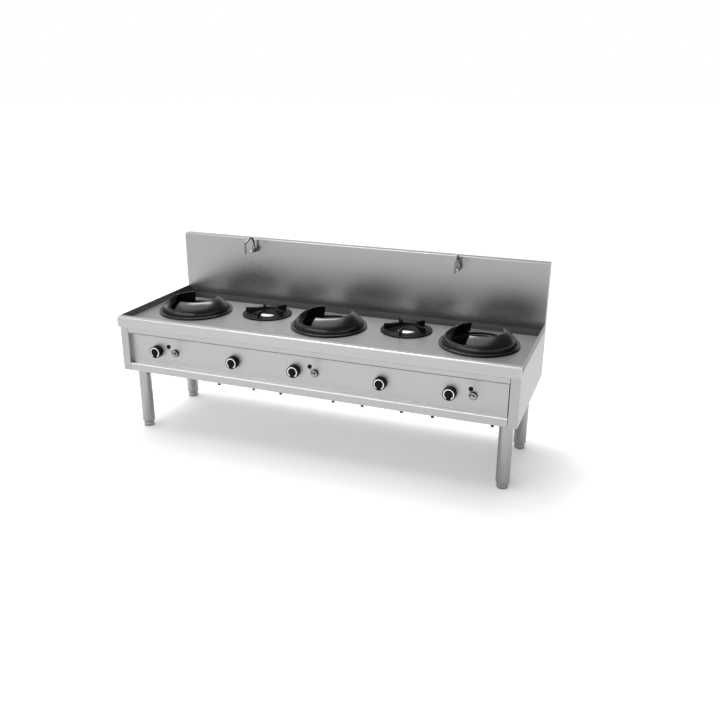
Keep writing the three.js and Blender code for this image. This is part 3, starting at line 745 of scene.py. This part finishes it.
def pan_support(number, x):
    """A low stepped ring with fins that carry the pan, one of them pointing at the front."""
    r, h = TRIVET_RADIUS, TRIVET_HEIGHT
    at = (x, TRIVET_Y, FLOOR + GAP)
    profile = [
        (r - 48, 0),
        (r - 1, 0),
        (r, 1),
        (r, 6),
        (r - 1.5, 7.6),
        (r - 5, 9),
        (r - 20, 9),
        (r - 22, 10.5),
        (r - 24, 13),
        (r - 28, 14),
        (r - 41, 14),
        (r - 43.5, 12.6),
        (r - 45, 10),
        (r - 48, 4),
    ]
    ring = turned(f"pan_support_{number}_casting", profile, 120, at)
    corners = [
        (r - 38, 3),
        (r - 20, 3),
        (r - 20, h - 1),
        (r - 23, h),
        (r - 80, h),
        (r - 82, h - 8),
        (r - 48, 10),
    ]
    outline = rounded(corners, [0, 0, 3, 2, 2.5, 3, 6], 4)
    fins = []
    for k in range(TRIVET_FINS):
        fin = drawn("fin", outline, "y", -4.5, 4.5)
        turn = Matrix.Rotation(math.radians(270 + 360 * k / TRIVET_FINS), 4, "Z")
        fin.data.transform(Matrix.Translation(at) @ turn)
        fins.append(fin)
    whole, name = join(ring, *fins), f"pan_support_{number}"
    piece(whole, name, IRON_DARK, [name], 1.0, 3, 40)


def well(number, wok, x):
    """The pot under the hole, with a rolled rim."""
    y = RING_Y if wok else TRIVET_Y
    hole = WOK_HOLE if wok else TRIVET_HOLE
    stem, depth, taper = (28, 100, 30) if wok else (18, 22, 16)
    side, top = hole - 2, -SHEET - GAP
    profile = [
        (stem + 8, -depth),
        (side - taper - 4, -depth),
        (side - taper, -depth + 3),
        (side - 1, top - SHEET - 3),
        (side + 2, top - SHEET),
        (side + 18, top - SHEET),
        (side + 18, top),
        (side - SHEET, top),
        (side - SHEET - 2, top - 2),
        (side - taper - SHEET - 1, SHEET - depth + 4),
        (side - taper - SHEET - 5, SHEET - depth),
        (stem + 8, SHEET - depth),
    ]
    kind = "wok" if wok else "pan"
    pot = turned(f"{kind}_well_{number}_pot", profile, 96, (x, y, FLOOR))
    # Painted shade: the pot is in the near-black finish.
    piece(pot, "frame", WELL, [f"{kind}_well_{number}"])


def burner(number, wok, x):
    """A cast burner on its stem, with rings of ports, and a half plate of painted highlight on a
    pan burner.
    """
    y = RING_Y if wok else TRIVET_Y
    head, stem, top, height = (78, 28, -45, 28) if wok else (40, 18, -4, 13)
    profile = [
        (0, -STEM_DEPTH),
        (stem, -STEM_DEPTH),
        (stem, top - height - 8),
        (stem + 6, top - height),
        (head - 6, top - height),
        (head, top - height + 5),
        (head, top - 6),
        (head - 2, top - 2),
        (head - 7, top),
        (stem + 4, top),
        (stem + 1, top - 2),
        (stem - 4, top - 2),
        (stem - 6, top),
        (0, top),
    ]
    kind = "wok" if wok else "pan"
    body = turned(f"{kind}_burner_{number}_casting", profile, 96, (x, y, FLOOR))
    if wok:
        rows = [(head - 13, 32), (head - 26, 24), (head - 38, 18)]
    else:
        rows = [(head - 10, 20), (head - 18, 12)]
    port = {"cap_ends": True, "segments": 8, "radius1": 1.8, "radius2": 1.8, "depth": 8}
    bm = bmesh.new()
    for radius, count in rows:
        for k in range(count):
            t = 2 * math.pi * k / count
            spot = (x + radius * math.cos(t), y + radius * math.sin(t), FLOOR + top)
            bmesh.ops.create_cone(bm, matrix=Matrix.Translation(spot), **port)
    body = cut(body, mesh_object("ports", bm))
    piece(body, "frame", IRON_BURNER, [f"{kind}_burner_{number}"], angle=40)
    # Painted highlight: a pale half plate over the front of a pan burner stands in for the bright
    # highlight inside the hole, and the back half is left dark where shade is.
    if not wok:
        plate = wedge(47, 178, 362, 0, 1.8, (x, y, FLOOR + top + 0.2))
        piece(plate, "frame", PALE_PLATE, bevel=0.4)
        plate.name = f"pan_burner_{number}_plate"


# ---- Controls ----


def knob(number, x):
    """A two-tier knob with a proud grip, and a bright ring let into its face."""
    r, face = 35.2, 35
    at = (x, PANEL_FACE, KNOB_Z)
    profile = [
        (0, 1),
        (r + 0.4, 1),
        (r + 1.2, 1.8),
        (r + 1.2, 11.2),
        (r + 0.4, 12.2),
        (r - 2.4, 12.6),
        (r - 2.4, 15.4),
        (r - 0.6, 16),
        (r, 18),
        (r, face - 1.2),
        (r - 0.4, face - 0.4),
        (r - 1.2, face),
        (0, face),
    ]
    body = turned(f"knob_{number}_body", profile, 96, at, True)
    corners = [(-5.5, -30.5), (5.5, -30.5), (5.5, 12), (-5.5, 12)]
    grip = drawn("grip", rounded(corners, [2.5, 2.5, 5, 5], 6), "y", -face - 4, -face + 5)
    grip.data.transform(Matrix.Translation(at))
    body = join(body, grip)
    piece(body, f"knob_{number}", BLACK, [f"knob_{number}"], 0.8, 3)
    outline = [
        (24.4, face - 1.5),
        (29.8, face - 1.5),
        (29.8, face + 0.5),
        (29, face + 1.1),
        (25.2, face + 1.1),
        (24.4, face + 0.5),
    ]
    band = turned(f"knob_{number}_ring", outline, 96, at, True)
    gap = wedge(40, 240, 300, -5, 5, (0, 0, 0))
    to_face = Matrix.Translation((x, PANEL_FACE - face, KNOB_Z))
    gap.data.transform(to_face @ Matrix.Rotation(math.radians(90), 4, "X"))
    piece(cut(band, gap), f"knob_{number}", SILVER, bevel=0.2)


def lever(number, x):
    """A cock with a stop pin, and a lever that stands up and ends in a black ball."""
    at = (x + LEVER_SHIFT, PANEL_FACE, KNOB_Z)
    valve = f"lever_valve_{number}"
    shank = [(0, -40), (12, -40), (12, GAP)]
    bowl = [(20.4, GAP), (21.6, 1), (22.2, 2.2), (22.2, 9.4), (21.8, 10), (0, 10)]
    body = turned(f"{valve}_body", shank + bowl, 72, at, True)
    piece(body, "frame", BLACK, [valve])
    face = [
        (0, 10.1),
        (18.6, 10.1),
        (19.4, 10.8),
        (19.4, 12.4),
        (18.4, 13.4),
        (14.6, 13.8),
        (13.4, 11.2),
        (11.6, 11.2),
        (11.2, 24.2),
        (10.4, 25),
        (0, 25),
    ]
    cap = turned(f"{valve}_face", face, 72, at, True)
    pin_at = (at[0] - 13.4, at[1], at[2] + 3)
    pin_outline = [(0, 10.2), (4.2, 10.2), (4.2, 18.4), (3.4, 19.4), (0, 19.4)]
    pin = turned(f"lever_{number}_stop", pin_outline, 24, pin_at, True)
    piece(cap, "frame", CHROME)
    piece(pin, "frame", BLACK)
    rim = [(0, 25.3), (9.6, 25.3), (11, 26.4), (11, 29.5)]
    dish = [(9.8, 31.6), (6.6, 32.6), (5.6, 31), (0, 30.6)]
    hub = turned(f"lever_{number}_hub", rim + dish, 48, at, True)
    foot, ball = Vector((0, -29.3, 0)), Vector((0, -67.3, 62))
    arm = swept("arm", [foot, foot.lerp(ball, 0.5), ball], [2.6, 2.6, 2.6], 16)
    arm.data.transform(Matrix.Translation(at))
    piece(join(hub, arm), f"lever_{number}", CHROME, [f"lever_{number}"])
    towards = (ball - foot).normalized()
    profile = [(0, -12.4), (4.4, -12.2), (5, -11.4)]
    for k in range(19):
        t = math.radians(-62 + 152 * k / 18)
        profile.append((BALL_RADIUS * math.cos(t), BALL_RADIUS * math.sin(t)))
    profile[-1] = (0, BALL_RADIUS)
    end = turned(f"lever_{number}_ball", profile, 48)
    turn = towards.to_track_quat("Z", "Y").to_matrix().to_4x4()
    end.data.transform(Matrix.Translation(Vector(at) + ball) @ turn)
    piece(end, f"lever_{number}", BLACK)


# ---- Taps ----


def tap(side, x, swing):
    """A wall tap with a swan-neck spout, turned by some degrees, and a handle at the front."""
    at = (x, SPLASH_FRONT, TAP_Z)
    shank = turned("shank", [(0, -30), (8, -30), (8, 28), (0, 28)], 48, at, True)
    outline = [(0, GAP), (15, GAP), (15, 3), (13.6, 5.4), (10.5, 8), (8, 9), (0, 9)]
    rose = turned("rose", outline, 64, at, True)
    bottom = [(0, -14), (6, -14), (9, -12.6), (10.5, -10)]
    neck = [(10.5, 22), (10, 25), (8.2, 26.5), (8.2, 31), (0, 31)]
    upright = turned(f"{side}_tap_body", bottom + neck, 64, (x, TAP_Y, TAP_Z))
    piece(join(upright, shank, rose), "frame", CHROME_PAINTED_DARK, [f"{side}_tap"], 0.2)

    reach, rise = SPOUT_REACH, SPOUT_RISE
    control = [
        (0, 0, 1),
        (0, 0, rise * 0.35),
        (0, -reach * 0.12, rise * 0.78),
        (0, -reach * 0.3, rise - 6),
        (0, -reach * 0.55, rise * 0.84),
        (0, -reach * 0.92, rise * 0.62),
        (0, -reach, rise * 0.48),
        (0, -reach, -rise * 0.55),
    ]
    radii = [SPOUT_RADIUS] * 58 + [6.6] * 5 + [6.1]
    path = curve_points(control, len(radii))
    pipe = swept(f"{side}_spout_pipe", path, radii, 28)
    collar = turned("collar", [(0, 0), (7.8, 0), (8.5, 1), (8.5, 6.5), (7.4, 8), (0, 8)], 48)
    pipe = join(pipe, collar)
    seat = Matrix.Translation((x, TAP_Y, SPOUT_SEAT))
    pipe.data.transform(seat @ Matrix.Rotation(math.radians(swing), 4, "Z"))
    piece(pipe, f"{side}_spout", CHROME_PAINTED_DARK, [f"{side}_spout"])

    at = (x, HANDLE_Y, TAP_Z)
    spindle = [(0, GAP), (5, GAP), (5, 7.4)]
    wheel = [(6, 9), (8, 10), (9, 12.5), (9, 25), (8, 27.4), (0, 27.4)]
    handle = turned(f"{side}_handle", spindle + wheel, 48, at, True)
    piece(handle, f"{side}_tap_handle", CHROME_PAINTED_DARK, [f"{side}_tap_handle"])
    outline = [(0, 27), (6.8, 27), (6.8, 28.4), (5.6, 29.6), (3, 30.2), (0, 30.4)]
    cap = turned(f"{side}_handle_cap", outline, 32, at, True)
    piece(cap, f"{side}_tap_handle", SILVER)


front_lip()
tray()
splash()
side_panel(1, "right_side_panel")
side_panel(-1, "left_side_panel")
rails()
control_panel()
legs()
for number, is_wok, place in BURNERS:
    if is_wok:
        wok_ring(number, place)
        lever(number, place)
    else:
        pan_support(number, place)
    well(number, is_wok, place)
    burner(number, is_wok, place)
    knob(number, knob_x(is_wok, place))
tap("left", -TAP_X, 0)
tap("right", TAP_X, 5)

# The CAD parts that keep their own shape.
carried = {
    # Painted shade: the rear gutter gets the darkened gutter steel.
    "rear_gutter": STEEL_GUTTER_SHADED,
    "gutter_drain": STEEL_INNER,
    "back_panel": STEEL,
    "deck_panel": STEEL_INNER,
    "gas_main": STEEL_INNER,
    **{f"gas_valve_{number}": BRASS for number in range(1, 6)},
}
for name, finish in carried.items():
    part = frame["nodes"][name]
    part.data.materials.clear()
    part.data.materials.append(finish)

# ---- Floor, light and camera ----


def floor():
    """A pale floor that shows white to the camera, and keeps the range's shadow."""
    bm = bmesh.new()
    bmesh.ops.create_circle(bm, cap_ends=True, segments=96, radius=60)
    ground = mesh_object("floor", bm)
    finish = Finish("pale_floor", 0.9, 0)
    finish.shader.inputs["Specular IOR Level"].default_value = 0.0
    rays = finish.nodes.new("ShaderNodeLightPath")
    finish.colour(rays.outputs["Is Camera Ray"], (0, grey(0.8)), (1, grey(1)))
    seen = finish.combine("ADD", rays.outputs["Is Camera Ray"], rays.outputs["Is Glossy Ray"])
    seen = finish.combine("ADD", seen, rays.outputs["Is Transmission Ray"])
    finish.shader.inputs["Emission Color"].default_value = (1, 1, 1, 1)
    finish.links.new(
        finish.combine("MULTIPLY", finish.combine("MINIMUM", seen, 1.0), 0.12),
        finish.shader.inputs["Emission Strength"],
    )
    ground.data.materials.append(finish.material)


def world():
    """A soft room: a white backdrop round the horizon, light on the left and dim on the right."""
    room = bpy.data.worlds.new("studio")
    bpy.context.scene.world = room
    room.use_nodes = True
    nodes, links = room.node_tree.nodes, room.node_tree.links
    shade = nodes["Background"]
    direction = nodes.new("ShaderNodeTexCoord").outputs["Generated"]
    split = nodes.new("ShaderNodeSeparateXYZ")
    links.new(direction, split.inputs["Vector"])

    def ramp(value, low, high, start, end):
        node = nodes.new("ShaderNodeMapRange")
        node.interpolation_type = "SMOOTHSTEP"
        node.inputs["From Min"].default_value = low
        node.inputs["From Max"].default_value = high
        node.inputs["To Min"].default_value = start
        node.inputs["To Max"].default_value = end
        links.new(value, node.inputs["Value"])
        return node.outputs["Result"]

    # At and below the horizon the level is 1, and overhead it falls from 0.9 at the left to 0.1.
    level = nodes.new("ShaderNodeMix")
    level.data_type = "FLOAT"
    links.new(ramp(split.outputs["Z"], 0.13, 0.3, 0, 1), level.inputs["Factor"])
    level.inputs["A"].default_value = 1.0
    links.new(ramp(split.outputs["X"], -0.8, 0.4, 0.9, 0.1), level.inputs["B"])
    links.new(level.outputs["Result"], shade.inputs["Strength"])
    shade.inputs["Color"].default_value = (1, 1, 1, 1)


def hang(name, light, place, ahead):
    """Puts a light in the scene, shining in the given direction."""
    lamp = bpy.data.objects.new(name, light)
    bpy.context.scene.collection.objects.link(lamp)
    lamp.location = place
    lamp.rotation_mode = "QUATERNION"
    lamp.rotation_quaternion = ahead.to_track_quat("-Z", "Y")


def lamps():
    """A broad overhead light, a soft box in front, and a soft box behind on the left."""
    sun = bpy.data.lights.new("key", "SUN")
    sun.energy = 1.65
    sun.angle = math.radians(60)
    hang("key", sun, (0, 0, 0), Vector((0.14, -0.17, -0.97)))
    boxes = {
        "front_box": ((-2.0, -6.4, 3.15), (0, 0, 0.5), (9, 2), 3.4),
        "rear_box": ((-1.1, 1.55, 4.4), (0, 0, 0.7), (2.8, 1), 12),
    }
    for name, (place, target, size, radiance) in boxes.items():
        box = bpy.data.lights.new(name, "AREA")
        box.shape = "RECTANGLE"
        box.size, box.size_y = size
        box.energy = radiance * math.pi * box.size * box.size_y
        hang(name, box, place, Vector(target) - Vector(place))


def camera():
    """The photo's view, from a camera fitted to the edges of the range."""
    data = bpy.data.cameras.new("view")
    data.lens = 40.395
    data.sensor_width = 36
    eye = bpy.data.objects.new("view", data)
    bpy.context.scene.collection.objects.link(eye)
    place = (1.7616, -4.2170, 2.1432)
    yaw, pitch, roll = math.radians(20.425), math.radians(-19.919), math.radians(0.383)
    level = math.cos(pitch)
    ahead = Vector((-math.sin(yaw) * level, math.cos(yaw) * level, math.sin(pitch)))
    right = Vector((math.cos(yaw), math.sin(yaw), 0))
    up = right.cross(ahead)
    tilted_right = right * math.cos(roll) + up * math.sin(roll)
    tilted_up = up * math.cos(roll) - right * math.sin(roll)
    turn = Matrix((tilted_right, tilted_up, -ahead)).transposed()
    eye.matrix_world = Matrix.Translation(place) @ turn.to_4x4()
    data.clip_start, data.clip_end = 0.05, 200
    bpy.context.scene.camera = eye


floor()
world()
lamps()
camera()
bpy.context.scene.view_settings.view_transform = "Standard"
